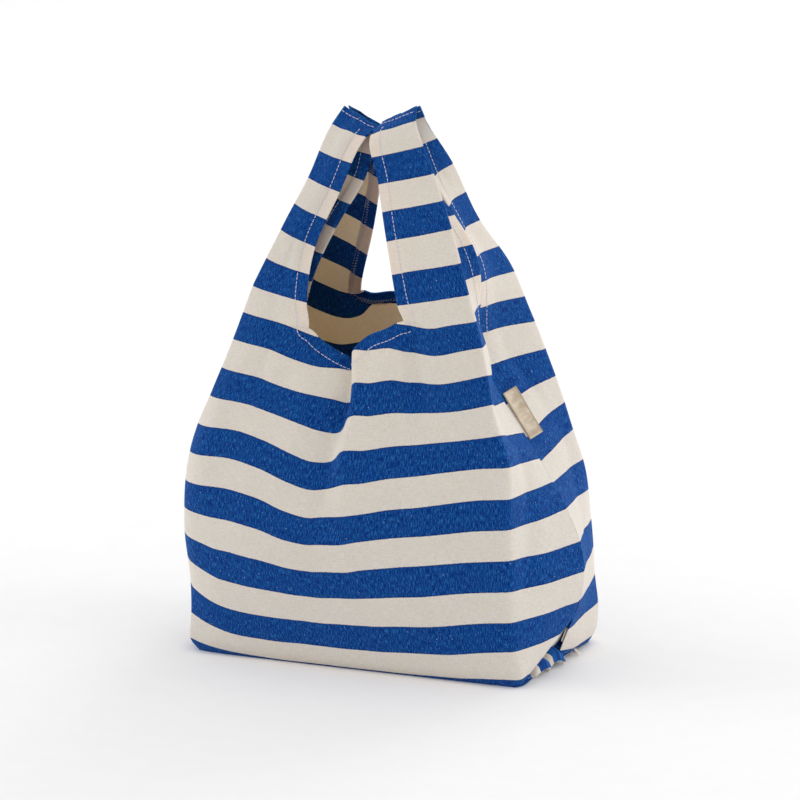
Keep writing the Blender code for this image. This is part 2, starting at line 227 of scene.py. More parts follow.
# How far the middle of each leg's half gusset is drawn in from a straight line
GUSSET_BOW = {("front", "left"): (-0.3, 1.5, 0.3), ("front", "right"): (-1.15, 0.2, 0),
              ("back", "left"): (0.5, -0.5, 0), ("back", "right"): (-0.3, -0.2, 0)}
LEG_BOW = 0.12  # and how far each leg's face swells outwards


def leg_cage(face, side, top):
    """Control points of one leg, from its slit edge to its mouth edge and a ghost column past it."""
    rows = [top]
    for weave, (slit, crease, inner) in zip(LEG_WEAVE, LEGS[face, side]):
        slit, crease, inner = (np.array([*p, weave]) for p in (slit, crease, inner))
        third = (inner - crease) / 2.8
        bow = np.array([0, LEG_BOW if face == "back" else -LEG_BOW, 0, 0])
        drawn = min(1, max(0, (48.6 - weave) / 8)) * np.array([*GUSSET_BOW[face, side], 0])  # none at the top
        gusset = (slit + crease) / 2 + drawn
        before = inner - third * 0.9 + bow
        rows.append(np.array([slit, gusset, crease, crease + third + bow, before, inner, inner * 2 - before]))
    return np.array(rows)


def dense(low, high, fine=()):
    """Positions from low to high about CELL apart, closer together beside the ends named in fine."""
    at = list(np.linspace(low, high, max(2, int(round(abs(high - low) / CELL)) + 1)))
    sign = 1 if high > low else -1
    close = np.array([0.05, 0.12, 0.2, 0.75, 0.85, 0.92, 0.98, 1.06])  # the edge's roll and the hem's step
    if "low" in fine:
        at += list(low + sign * close)
    if "high" in fine:
        at += list(high - sign * close)
    at = sorted(set(np.round(at, 4)), key=lambda v: sign * v)
    kept, least = [at[0]], 0.045
    for v in at[1:-1]:
        if abs(v - kept[-1]) > least and abs(v - at[-1]) > least:
            kept.append(v)
    return np.array(kept + [at[-1]])


# Roundings of the upright corners: the reach across the cloth, and how strong it is by row
SHARP = (0.45, ((0, 1), (50, 1)))
WIDER = (1.0, ((0, 1), (50, 1)))
BROAD = (3.2, ((0, 0.3), (2.5, 0.45), (6, 0.9), (18, 1), (24, 0.7), (27.5, 0.4), (31, 0.2), (50, 0.12)))


def across_rows(cage, columns, at, corners):
    """Rows of control points read at dense positions, with each corner's crease rounded off."""
    order = 1 if columns[-1] > columns[0] else -1
    columns, at = columns * order, np.asarray(at) * order

    def read(where):
        where = np.atleast_1d(where)
        out = np.empty((cage.shape[0], len(where), 4))
        cuts = sorted(c * order for c, *_ in corners if columns[0] < c * order < columns[-1])
        spans = [columns[0], *cuts, columns[-1]]
        for low, high in zip(spans, spans[1:]):
            keep = (columns >= low - 1e-6) & (columns <= high + 1e-6)
            here = (where >= low - 1e-6) & (where <= high + 1e-6)
            if here.any():
                out[:, here] = spline(columns[keep], cage[:, keep].swapaxes(0, 1), where[here]).swapaxes(0, 1)
        return out

    grid = read(at)
    for centre, reach, strength in corners:
        centre = centre * order
        if not columns[0] < centre < columns[-1]:
            continue
        near = np.abs(at - centre) < reach
        if not near.any():
            continue
        a, c, b = (read(centre + k * reach) for k in (-1, 0, 1))
        t = ((at[near] - centre + reach) / (2 * reach))[None, :, None]
        bent = (1 - t) ** 2 * a + 2 * t * (1 - t) * c + t * t * b
        w = np.clip(strength, 0, 1)[:, None, None]
        grid[:, near] = grid[:, near] * (1 - w) + bent * w
    return grid


def ripple(points, across, up, seed, size):
    """Small soft unevenness of the cloth, as a sum of waves that a panel and its legs share."""
    out = np.zeros(np.broadcast(across, up).shape)
    state = np.random.default_rng(seed)
    for _ in range(14):
        wave, angle, phase = state.uniform(2.2, 8), state.uniform(0, math.pi), state.uniform(0, 6.3)
        along = across * math.cos(angle) * 1.3 + up * math.sin(angle) * 0.7
        out += (wave / 8) * np.sin(along * 6.28 / wave + phase)
    return out * size / 3


# Soft folds pressed into the panels: face, column and row of the middle, reach across and up, lean, depth
FOLDS = (
    ("front", 7.0, 24.0, 0.9, 4.5, 0.0, -0.28), ("front", 5.4, 24.5, 0.8, 4.0, 0.0, 0.14),
    ("front", -9.0, 24.0, 0.7, 4.0, -0.15, -0.14), ("front", -11.0, 12.0, 1.2, 5.0, 0.2, -0.16),
    ("front", -3.0, 5.5, 0.9, 4.0, 0.25, -0.10), ("front", 4.5, 11.0, 1.6, 5.0, -0.1, -0.10),
    ("front", 10.5, 9.0, 1.2, 7.0, 0.05, -0.10), ("front", 17.0, 14.0, 1.0, 5.0, 0.3, -0.25),
    ("front", 16.5, 22.0, 0.8, 4.0, -0.2, -0.2), ("front", -10.5, 34.0, 0.5, 5.0, 0.0, -0.08),
    ("back", -8.0, 22.0, 1.0, 5.0, 0.1, -0.25), ("back", 6.5, 20.0, 1.2, 6.0, -0.1, -0.25),
    ("back", 0.0, 12.0, 2.0, 7.0, 0.1, -0.35), ("back", 11.0, 11.0, 1.2, 5.0, 0.1, -0.15),
    ("back", -11.5, 13.0, 1.3, 5.0, -0.1, -0.15), ("back", 17.0, 13.0, 1.0, 5.0, -0.3, -0.2),
    ("back", 17.5, 23.0, 0.8, 3.5, 0.2, -0.2),
)


class Cloth:
    """A grid of cloth: points, the weave's two counts, unit normals and the distance to its hems."""

    def __init__(self, face, grid, across, rows, outward):
        self.points, self.up = grid[..., :3].copy(), grid[..., 3]
        self.across = np.broadcast_to(across, grid.shape[:2])
        self.rows = np.broadcast_to(rows[:, None], self.up.shape)
        self.outward = outward
        move = ripple(self.points, self.across, self.rows, 5 if face == "front" else 9, 0.055)
        for side, column, row, wide, tall, lean, depth in FOLDS:
            if side == face:
                a = self.across - column - lean * (self.rows - row)
                move = move + depth * np.exp(-((a / wide) ** 2) - ((self.rows - row) / tall) ** 2)
        # Unmoved at the foot and at the side seams, where pieces meet
        calm = np.clip(self.rows / 2, 0, 1) * np.clip((COLUMNS[-1] - np.abs(self.across)) / 1.5, 0, 1)
        self.points += grid_normals(self.points) * outward * (move * calm)[..., None]
        self.normals = grid_normals(self.points) * outward

    def measure(self, hem):
        """Find each point's distance to the nearest point of the hem's edge."""
        tree = KDTree(len(hem))
        for i, p in enumerate(hem):
            tree.insert(p, i)
        tree.balance()
        self.to_hem = np.array([tree.find(p)[2] for p in self.points.reshape(-1, 3)]).reshape(self.up.shape)

    def thickness(self):
        """The cloth's own, and two layers more where the hem is turned in."""
        t = np.clip((HEM + 0.03 - self.to_hem) / 0.06, 0, 1)
        return THICK + (HEM_THICK - THICK) * t * t * (3 - 2 * t)

    def level(self, distance, axis, start, inner=False, stop=0):
        """The line on the cloth so far from its hem, as points and normals: one for each row (axis 1)
        or column (axis 0), walking from the start's edge. inner takes the cloth's inside face, and stop
        leaves out so many of the last rows."""
        p, n, d = self.points, self.normals, self.to_hem
        if inner:
            p, n = p - n * (self.thickness() - THICK / 2)[..., None], -n
        else:
            p = p + n * (THICK / 2)
        if axis == 0:
            p, n, d = p.swapaxes(0, 1), n.swapaxes(0, 1), d.T
        if start == "high":
            p, n, d = p[:, ::-1], n[:, ::-1], d[:, ::-1]
        found = []
        for row in range(len(d) - stop):
            if d[row, 0] > distance:
                continue
            over = np.nonzero(d[row] > distance)[0]
            if len(over):
                k = over[0]
                t = (distance - d[row, k - 1]) / (d[row, k] - d[row, k - 1])
                found.append(np.concatenate([p[row, k - 1] * (1 - t) + p[row, k] * t,
                                             n[row, k - 1] * (1 - t) + n[row, k] * t]))
        return max(whole_runs(np.array(found)), key=len)

    def length_down(self, distance):
        """The line across the cloth so far below its top edge, as points and normals."""
        p = self.points + self.normals * (THICK / 2)
        found = []
        for column in range(p.shape[1]):
            down = np.concatenate([[0], np.cumsum(np.linalg.norm(np.diff(p[::-1, column], axis=0), axis=1))])
            found.append([np.interp(distance, down, a[::-1, column, k])
                          for a in (p, self.normals) for k in range(3)])
        return np.array(found)


def panel(face, outward):
    """One panel of the bag: its body cloth, and its left and right legs."""
    cage = body_cage(face)
    heights = (*BODY_HEIGHTS, CUT)
    rows = np.concatenate([dense(0, 26.2)[:-1], np.linspace(26.2, CUT, 13)])
    creases = ((LEFT_CREASE, BROAD if face == "front" else WIDER), (RIGHT_CREASE, SHARP))

    def corners(at):
        return [(COLUMNS[column], reach, np.interp(at, *np.array(strength).T))
                for column, (reach, strength) in creases]

    body_rows = spline(heights, cage, rows)
    legs = {}
    for side, columns in (("left", list(range(0, 7))), ("right", list(range(17, 10, -1)))):
        tall = np.concatenate([cage[:-1, columns], leg_cage(face, side, cage[-1, columns])])
        knots = (*heights, *LEG_ROWS)
        body_rows[:, columns] = spline(knots, tall, rows)
        leg_at = dense(CUT, LEG_ROWS[-1])
        leg_rows = spline(knots, tall, leg_at)
        edge = COLUMNS[columns]
        across = np.concatenate([dense(edge[0], edge[2], ("low",)), dense(edge[2], edge[5], ("high",))[1:]])
        grid = across_rows(leg_rows, edge, across, corners(leg_at))
        legs[side] = Cloth(face, grid, across, leg_at, outward if side == "left" else -outward)
    # The body's columns: the creases, the mouth's ends, close ones at the seams and the pleat, then the rest
    keys = np.concatenate([COLUMNS[[0, LEFT_CREASE, LEFT_EDGE, RIGHT_EDGE, RIGHT_CREASE, 17]],
                           [-21.1, -20.95, 20.95, 21.1], np.linspace(-1.2, 1.2, 17)])
    plain = dense(COLUMNS[0], COLUMNS[-1])
    across = np.sort(np.concatenate([keys, plain[np.abs(plain[:, None] - keys).min(axis=1) > 0.09]]))
    body = Cloth(face, across_rows(body_rows, COLUMNS, across, corners(rows)), across, rows, outward)
    left, right = legs["left"], legs["right"]
    mouth = (across >= COLUMNS[LEFT_EDGE]) & (across <= COLUMNS[RIGHT_EDGE])
    hem = np.concatenate([left.points[::-1, -1], body.points[-1, mouth], right.points[:, -1],
                          left.points[:, 0], right.points[:, 0]])
    near = np.linalg.norm(hem[1:] - hem[:-1], axis=1) < 1
    between = [(hem[:-1] * (1 - k) + hem[1:] * k)[near] for k in (0.25, 0.5, 0.75)]
    hem = np.concatenate([hem, *between])
    for cloth in (body, left, right):
        cloth.measure(hem)
    return body, legs


def grid_normals(points):
    """Unit normals of a grid of points, by the differences of its neighbours."""
    up, across = np.gradient(points, axis=0), np.gradient(points, axis=1)
    n = np.cross(across, up)
    return n / np.maximum(np.linalg.norm(n, axis=-1, keepdims=True), 1e-9)


def new_mesh(name, co, faces, material, **attributes):
    """A smooth mesh object from centimetres, with one number at each point for every attribute."""
    mesh = bpy.data.meshes.new(name)
    mesh.from_pydata((np.asarray(co) * CM).tolist(), [], [list(map(int, f)) for f in faces])
    for label, values in attributes.items():
        mesh.attributes.new(label, "FLOAT", "POINT").data.foreach_set("value", np.asarray(values, np.float32))
    mesh.shade_smooth()
    mesh.materials.append(material)
    made = bpy.data.objects.new(name, mesh)
    bpy.context.scene.collection.objects.link(made)
    return made


def shell(name, cloth, material, hemmed):
    """A grid of cloth as a closed mesh of its real thickness. hemmed(edge) says where an edge is rolled:
    all along, nowhere, or by a test of the positions across. The rest of the edge is closed flat."""
    p, n = cloth.points, cloth.normals
    rows, columns = cloth.up.shape
    outer = p + n * THICK / 2
    inner = p - n * (cloth.thickness() - THICK / 2)[..., None]
    index = np.arange(rows * columns).reshape(rows, columns)
    quads = np.stack([index[:-1, :-1], index[:-1, 1:], index[1:, 1:], index[1:, :-1]], -1).reshape(-1, 4)
    if cloth.outward < 0:
        quads = quads[:, ::-1]
    count = rows * columns
    co = [outer.reshape(-1, 3), inner.reshape(-1, 3)]
    up, across = [cloth.up.ravel()] * 2, [cloth.across.ravel()] * 2
    inside = [np.zeros(count), np.ones(count)]
    faces = [quads, quads[:, ::-1] + count]
    total = 2 * count
    sharp = []
    edges = {"bottom": (index[0], p[0] - p[1]), "top": (index[-1][::-1], (p[-1] - p[-2])[::-1]),
             "first": (index[::-1, 0], (p[:, 0] - p[:, 1])[::-1]),
             "last": (index[:, -1], p[:, -1] - p[:, -2])}
    for edge, (line_index, away) in edges.items():
        spans = hemmed(edge)
        keep = spans(cloth.across.ravel()[line_index]) if callable(spans) else np.full(len(line_index), spans)
        # Cut edges that lie against the next piece are closed flat, and keep the cloth's own shading
        flat = ~(keep[1:] & keep[:-1])
        one, two = line_index, line_index + count
        strip = np.stack([one[1:], one[:-1], two[:-1], two[1:]], -1)[flat]
        faces.append(strip if cloth.outward > 0 else strip[:, ::-1])
        sharp += [frozenset(e) for e in strip[:, :2].tolist() + strip[:, 2:].tolist()]
        if keep.sum() < 2:
            continue
        line_index, away = line_index[keep], away[keep]
        away = away / np.linalg.norm(away, axis=1, keepdims=True)
        a, b = co[0][line_index], co[1][line_index]
        half = np.linalg.norm(a - b, axis=1, keepdims=True) / 2
        middle, through = (a + b) / 2, (a - b) / 2
        roll = [middle + through * c + away * half * s * 0.8
                for c, s in ((0.72, 0.72), (0, 1), (-0.72, 0.72))]
        m = len(line_index)
        ids = [line_index, *(np.arange(m) + total + k * m for k in range(3)), line_index + count]
        for k, ring in enumerate(roll):
            co.append(ring)
            up.append(cloth.up.ravel()[line_index])
            across.append(cloth.across.ravel()[line_index])
            inside.append(np.full(m, 0.25 * (k + 1)))
        total += 3 * m
        for one, two in zip(ids, ids[1:]):
            strip = np.stack([one[1:], one[:-1], two[:-1], two[1:]], -1)
            faces.append(strip if cloth.outward > 0 else strip[:, ::-1])
    made = new_mesh(name, np.concatenate(co), np.concatenate(faces), material, weave_up=np.concatenate(up),
                    weave_across=np.concatenate(across), inside=np.concatenate(inside))
    sharp = set(sharp)
    made.data.attributes.new("sharp_edge", "BOOLEAN", "EDGE").data.foreach_set(
        "value", [frozenset(e.vertices) in sharp for e in made.data.edges])
    return made


def resample(path, pitch, offset=0.0):
    """A path of points (any width) at even steps along its length."""
    steps = np.linalg.norm(np.diff(path[:, :3], axis=0), axis=1)
    along = np.concatenate([[0], np.cumsum(steps)])
    keep = np.concatenate([[True], steps > 1e-6])
    at = np.arange(offset, along[-1], pitch)
    return np.stack([np.interp(at, along[keep], path[keep, k]) for k in range(path.shape[1])], -1), at


def tubes(name, paths, radius, material, sides=5):
    """Thin round threads along many short paths, as one mesh. Each path is an array of points."""
    co, faces, total = [], [], 0
    for path in paths:
        path = np.asarray(path)[:, :3]
        along = np.gradient(path, axis=0)
        along /= np.maximum(np.linalg.norm(along, axis=1, keepdims=True), 1e-9)
        helper = np.where(np.abs(along[:, 2:]) < 0.8, [[0, 0, 1.0]], [[1.0, 0, 0]])
        a = np.cross(along, helper)
        a /= np.linalg.norm(a, axis=1, keepdims=True)
        b = np.cross(along, a)
        turn = (np.arange(sides) * 2 * math.pi / sides)[:, None]
        ring = path[:, None] + radius * (a[:, None] * np.cos(turn) + b[:, None] * np.sin(turn))
        co.append(ring.reshape(-1, 3))
        index = np.arange(len(path) * sides).reshape(-1, sides) + total
        one, two = index[:-1], index[1:]
        faces += np.stack([one, np.roll(one, -1, 1), np.roll(two, -1, 1), two], -1).reshape(-1, 4).tolist()
        faces += [index[0][::-1].tolist(), index[-1].tolist()]
        total += len(path) * sides
    return new_mesh(name, np.concatenate(co), faces, material)


def whole_runs(path, jump=0.6):
    """A path cut where it leaps from one stretch to another."""
    steps = np.linalg.norm(np.diff(path[:, :3], axis=0), axis=1)
    return [run for run in np.split(path, np.nonzero(steps > jump)[0] + 1) if len(run) > 4]


def stitches(path, length=0.27, gap=0.07):
    """Sewn stitches along a path of points and normals: each stands up in a low bow and ends in the cloth."""
    if len(path) < 5:
        return []
    even, at = resample(path, 0.045)
    pitch = length + gap
    out = []
    for k in range(int(at[-1] / pitch)):
        inside = (at >= k * pitch) & (at <= k * pitch + length)
        piece = even[inside]
        if len(piece) < 3:
            continue
        t = np.linspace(0, 1, len(piece))[:, None]
        out.append(piece[:, :3] + piece[:, 3:] * (0.028 * np.sin(t * math.pi) ** 0.6 - 0.008))
    return out


def overlock(edge, far):
    """The overlocked raw edge of a hem: a zigzag and two straight rows, between two paths on the cloth."""
    count = int(np.linalg.norm(np.diff(edge[:, :3], axis=0), axis=1).sum() / 0.24)

    def even(path, share):
        steps = np.concatenate([[0], np.cumsum(np.linalg.norm(np.diff(path[:, :3], axis=0), axis=1))])
        at = np.linspace(0, steps[-1], share)
        return np.stack([np.interp(at, steps, path[:, k]) for k in range(6)], -1)

    a, b = even(edge, 2 * count + 1), even(far, 2 * count + 1)
    zigzag = np.where((np.arange(2 * count + 1) % 2)[:, None] == 0, a, b)
    paths = [zigzag[:, :3] + zigzag[:, 3:] * 0.03]
    for share in (0.12, 0.62):
        row = a * (1 - share) + b * share
        paths += stitches(row, 0.25, 0.03)
    return paths


class Nodes:
    """Short ways to add shader nodes to one material."""

    def __init__(self, name):
        self.material = bpy.data.materials.new(name)
        self.material.use_nodes = True
        self.tree = self.material.node_tree
        self.shader = self.tree.nodes["Principled BSDF"]

    def put(self, kind, **settings):
        node = self.tree.nodes.new(kind)
        for key, value in settings.items():
            setattr(node, key, value)
        return node

    def feed(self, socket, value):
        if hasattr(value, "links"):
            self.tree.links.new(value, socket)
        else:
            socket.default_value = value

    def maths(self, operation, *inputs):
        node = self.put("ShaderNodeMath", operation=operation)
        for socket, value in zip(node.inputs, inputs):
            self.feed(socket, value)
        return node.outputs[0]

    def attribute(self, name):
        return self.put("ShaderNodeAttribute", attribute_name=name).outputs["Fac"]

    def vector(self, x, y, z=0.0):
        node = self.put("ShaderNodeCombineXYZ")
        for socket, value in zip(node.inputs, (x, y, z)):
            self.feed(socket, value)
        return node.outputs[0]

    def stretched(self, x, x_scale, y, y_scale, z=0.0):
        """A place with each of its two positions multiplied by its own scale."""
        return self.vector(self.maths("MULTIPLY", x, x_scale), self.maths("MULTIPLY", y, y_scale), z)

    def noise(self, vector, scale, detail=2.0, roughness=0.5):
        node = self.put("ShaderNodeTexNoise")
        self.feed(node.inputs["Vector"], vector)
        node.inputs["Scale"].default_value = scale
        node.inputs["Detail"].default_value = detail
        node.inputs["Roughness"].default_value = roughness
        return node.outputs["Fac"]

    def fade(self, value, low, high, to_low=0.0, to_high=1.0):
        node = self.put("ShaderNodeMapRange", interpolation_type="SMOOTHSTEP")
        for socket, item in zip(node.inputs, (value, low, high, to_low, to_high)):
            self.feed(socket, item)
        return node.outputs[0]

    def mix(self, share, a, b, blend="MIX"):
        node = self.put("ShaderNodeMix", data_type="RGBA", blend_type=blend)
        self.feed(node.inputs[0], share)
        self.feed(node.inputs[6], a)
        self.feed(node.inputs[7], b)
        return node.outputs[2]

    def bump(self, height, distance, strength=1.0, normal=None):
        node = self.put("ShaderNodeBump")
        node.inputs["Strength"].default_value = strength
        node.inputs["Distance"].default_value = distance
        self.feed(node.inputs["Height"], height)
        if normal:
            self.feed(node.inputs["Normal"], normal)
        return node.outputs[0]


def linear(red, green, blue):
    """An sRGB colour given out of 255 as the shader's linear one."""
    return (*(c / 255 / 12.92 if c / 255 <= 0.04045 else ((c / 255 + 0.055) / 1.055) ** 2.4
              for c in (red, green, blue)), 1)


YARNS = 0.085  # from one raised yarn of the canvas to the next


def canvas_material():
    """Yarn-dyed canvas, with its stripes and its weave worked out from the cloth's own two counts."""
    m = Nodes("striped_canvas_look")
    up, across = m.attribute("weave_up"), m.attribute("weave_across")
    cloth = m.vector(across, up)
    drift = m.noise(m.stretched(across, 1.0, up, 0.4), 5.0)
    wander = m.maths("MULTIPLY", m.maths("SUBTRACT", drift, 0.5), 0.07)
    place = m.maths("ADD", m.maths("ADD", up, wander), PERIOD * 10 + BLUE - BLUE_TOP)
    phase = m.maths("MODULO", place, PERIOD)
    blue = m.maths("MULTIPLY", m.fade(phase, 0.0, 0.03), m.fade(phase, BLUE - 0.03, BLUE, 1.0, 0.0))
    border = m.maths("MULTIPLY", blue, m.maths("SUBTRACT", 1.0, m.maths(
        "MULTIPLY", m.fade(phase, 0.03, 0.13), m.fade(phase, BLUE - 0.13, BLUE - 0.03, 1.0, 0.0))))
    # Yarns: the warp's slubs run up the cloth, the weft's across it
    warp = m.noise(m.stretched(across, 14.0, up, 2.0), 1.0, 3.0, 0.75)
    weft = m.noise(m.stretched(across, 1.8, up, 12.0, 4.0), 1.0, 3.0, 0.75)
    grain = m.noise(cloth, 14.0, 2.0, 0.7)
    mottle = m.noise(cloth, 0.8, 4.0, 0.6)
    light_yarn = m.maths("MULTIPLY", m.fade(warp, 0.47, 0.62), m.fade(grain, 0.35, 0.6, 0.4, 1.0))
    dark_yarn = m.maths("MULTIPLY", m.fade(weft, 0.46, 0.68), m.fade(grain, 0.40, 0.64))
    fleck = m.fade(m.noise(cloth, 6.5, 1.0, 0.5), 0.745, 0.79)
    dyed = m.mix(m.fade(grain, 0.3, 0.7), linear(0, 40, 112), linear(0, 62, 140))
    dyed = m.mix(light_yarn, dyed, linear(48, 126, 200))
    dyed = m.mix(m.maths("MULTIPLY", dark_yarn, 0.75), dyed, linear(0, 24, 84))
    dyed = m.mix(m.fade(mottle, 0.35, 0.7, 0.0, 0.25), dyed, linear(10, 78, 158))
    dyed = m.mix(m.maths("MULTIPLY", fleck, 0.8), dyed, linear(205, 210, 222))
    dyed = m.mix(m.maths("MULTIPLY", border, 0.65), dyed, linear(2, 30, 92))
    plain = m.mix(m.fade(grain, 0.3, 0.7), linear(228, 213, 200), linear(239, 226, 215))
    plain = m.mix(m.fade(warp, 0.45, 0.65, 0.0, 0.55), plain, linear(216, 201, 186))
    plain = m.mix(m.fade(weft, 0.45, 0.65, 0.0, 0.5), plain, linear(246, 238, 229))
    plain = m.mix(m.fade(mottle, 0.4, 0.7, 0.0, 0.2), plain, linear(220, 210, 194))
    plain = m.mix(m.fade(m.noise(cloth, 5.0, 1.0, 0.5), 0.76, 0.8, 0.0, 0.5), plain, linear(176, 158, 130))
    m.feed(m.shader.inputs["Base Color"], m.mix(blue, plain, dyed))
    over, under = (m.maths("SINE", m.maths("MULTIPLY", place, 6.2832 / YARNS)) for place in (across, up))
    weave = m.maths("MULTIPLY", over, under)
    slubs = m.maths("ADD", m.maths("MULTIPLY", warp, 0.6), m.maths("MULTIPLY", weft, 0.6))
    coarse = m.bump(slubs, 0.0007, 0.5)
    fine = m.bump(weave, 0.00016, 0.5, coarse)
    m.feed(m.shader.inputs["Normal"], fine)
    m.feed(m.shader.inputs["Roughness"], m.fade(grain, 0.3, 0.7, 0.82, 0.97))
    m.shader.inputs["Specular IOR Level"].default_value = 0.06
    m.shader.inputs["Sheen Weight"].default_value = 0.05
    m.shader.inputs["Sheen Roughness"].default_value = 0.5
    m.shader.inputs["Subsurface Weight"].default_value = 0.6
    m.shader.inputs["Subsurface Radius"].default_value = (1.0, 0.75, 0.5)
    m.shader.inputs["Subsurface Scale"].default_value = 0.003
    return m.material


def thread_material():
    """Pale twisted cotton thread."""
    m = Nodes("sewing_thread_look")
    place = m.put("ShaderNodeTexCoord").outputs["Object"]
    tint = m.noise(place, 260.0, 2.0, 0.6)
    m.feed(m.shader.inputs["Base Color"], m.mix(tint, linear(196, 194, 214), linear(236, 233, 238)))
    wave = m.put("ShaderNodeTexWave", wave_type="BANDS", bands_direction="DIAGONAL")
    m.feed(wave.inputs["Vector"], place)
    wave.inputs["Scale"].default_value = 900.0
    m.feed(m.shader.inputs["Normal"], m.bump(wave.outputs["Fac"], 0.0001, 0.5))
    m.feed(m.shader.inputs["Roughness"], m.fade(tint, 0.3, 0.7, 0.55, 0.75))
    return m.material


def satin_material():
    """Woven satin: fine lengthwise floats, with soft bands of painted sheen, where they would catch the
    light, in its colour.
    """
    m = Nodes("label_satin_look")
    along, over = m.attribute("label_along"), m.attribute("label_across")
    floats = m.noise(m.stretched(along, 2.0, over, 60.0), 1.0, 2.0, 0.6)
    # The soft lighter and darker bands across the label are painted sheen
    painted_sheen_band = m.noise(m.stretched(along, 1.0, over, 0.5, 3.0), 1.0, 2.0, 0.5)
    tone = m.mix(m.fade(painted_sheen_band, 0.35, 0.65), linear(178, 160, 136), linear(222, 208, 188))
    tone = m.mix(m.fade(floats, 0.35, 0.7, 0.0, 0.5), tone, linear(160, 142, 118))
    edge = m.fade(m.maths("ABSOLUTE", over), 0.52, 0.62, 0.0, 0.7)
    m.feed(m.shader.inputs["Base Color"], m.mix(edge, tone, linear(138, 118, 92)))
    m.feed(m.shader.inputs["Roughness"], m.fade(floats, 0.3, 0.7, 0.28, 0.42))
    m.feed(m.shader.inputs["Normal"], m.bump(floats, 0.0001, 0.5))
    m.shader.inputs["Metallic"].default_value = 0.25
    m.shader.inputs["Sheen Weight"].default_value = 0.15
    return m.material


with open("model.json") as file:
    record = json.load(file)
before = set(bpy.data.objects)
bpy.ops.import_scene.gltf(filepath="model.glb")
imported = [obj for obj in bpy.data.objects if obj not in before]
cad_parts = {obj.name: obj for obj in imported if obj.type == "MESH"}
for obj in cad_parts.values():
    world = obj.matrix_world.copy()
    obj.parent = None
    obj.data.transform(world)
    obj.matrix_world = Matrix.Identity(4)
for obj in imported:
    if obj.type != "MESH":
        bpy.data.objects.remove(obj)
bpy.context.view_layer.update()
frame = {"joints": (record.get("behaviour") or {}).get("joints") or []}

canvas, thread, satin = canvas_material(), thread_material(), satin_material()


def ride_leg(piece):
    """The handle's cloth, with its transform baked into its points."""
    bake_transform(piece)


def in_mouth(across):
    """Whether a place across the panel is on the mouth's hem, between the legs."""
    return (across >= COLUMNS[LEFT_EDGE] - 1e-6) & (across <= COLUMNS[RIGHT_EDGE] + 1e-6)


def stitch_tubes(name, *lines):
    """Rows of stitches as one piece of thread."""
    return tubes(name, sum((stitches(row) for row in lines), []), THREAD_RADIUS, thread)


def overlock_tubes(name, edge, far):
    """An overlocked edge as one piece of thread."""
    return tubes(name, overlock(edge, far), LOCK_RADIUS, thread, LOCK_SIDES)


panels = {}
for face, outward in (("front", 1), ("back", -1)):
    body, legs = panel(face, outward)
    panels[face] = body, legs
    cloth = shell(face + "_panel_cloth", body, canvas, lambda edge: in_mouth if edge == "top" else True)
    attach(cloth, "bag")
    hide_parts(face + "_panel")
    sewn = stitch_tubes(face + "_mouth_stitches", body.level(STITCH_LEVEL, 0, "high"))
    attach(sewn, "bag")
    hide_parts(face + "_mouth_stitching")
    locked = overlock_tubes(face + "_mouth_overlock", *(body.level(d, 0, "high", True) for d in LOCK_LEVELS))
    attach(locked, "bag")
    for side, leg in legs.items():
        cloth = shell(side + "_" + face + "_leg_cloth", leg, canvas, lambda edge: edge != "bottom")
        hem = leg.level(STITCH_LEVEL, 1, "high", stop=TOP_ROWS)
        slit = leg.level(STITCH_LEVEL, 1, "low", stop=TOP_ROWS)
        lining = leg.level(STITCH_LEVEL, 1, "low", True, stop=TOP_ROWS)
        sewn = stitch_tubes(f"{side}_{face}_leg_stitches", hem, slit, lining)
        crown = stitch_tubes(f"{side}_{face}_top_stitches", leg.length_down(CROWN_LEVEL)[2:-2])
        locked = overlock_tubes(f"{side}_{face}_leg_overlock",
                                *(leg.level(d, 1, "high", True, stop=TOP_ROWS) for d in LOCK_LEVELS))
        for piece in (cloth, sewn, locked, crown):
            ride_leg(piece)
        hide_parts(f"{side}_top_stitching")
        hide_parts(f"{side}_{face}_leg")
        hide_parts(f"{side}_{face}_hem_stitching", f"{side}_{face}_slit_stitching")

# The base: each panel's cloth carried on under the bag, and meeting the other's in the middle
front_foot, back_foot = (panels[f][0].points[0] for f in ("front", "back"))
front_up = panels["front"][0].up[0]
deep = np.linspace(0, 1, 41)
grid = front_foot[None] * (1 - deep[:, None, None]) + back_foot[None] * deep[:, None, None]
depth = np.abs(back_foot[:, 1] - front_foot[:, 1])
fold = np.minimum(deep, 1 - deep)[:, None] * depth[None]
grid[..., 0] = np.clip(grid[..., 0], -13.9, 13.9)
uneven = 1 + 0.6 * np.sin(grid[..., 0] * 1.1) * np.sin(grid[..., 1] * 0.9)
grid[..., 2] = 0.06 + 0.12 * np.clip(fold / 2, 0, 1) * uneven
weave = np.where(deep[:, None] <= 0.5, front_up[None], panels["back"][0].up[0][None]) - fold
base = Cloth("base", np.concatenate([grid, weave[..., None]], -1), panels["front"][0].across[0],
             np.zeros(len(deep)), -1)
base.to_hem = np.full(base.up.shape, NO_HEM)
base_cloth = shell("base_cloth", base, canvas, lambda edge: False)
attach(base_cloth, "bag")
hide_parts("bottom_panel")


def loose(name, grid, across, outward):
    """A free strip of the same cloth, riding with the bag."""
    piece = Cloth("loose", grid, across, np.zeros(len(grid)), outward)
    piece.to_hem = np.full(piece.up.shape, NO_HEM)
    made = shell(name, piece, canvas, lambda edge: True)
    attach(made, "bag")
    return made


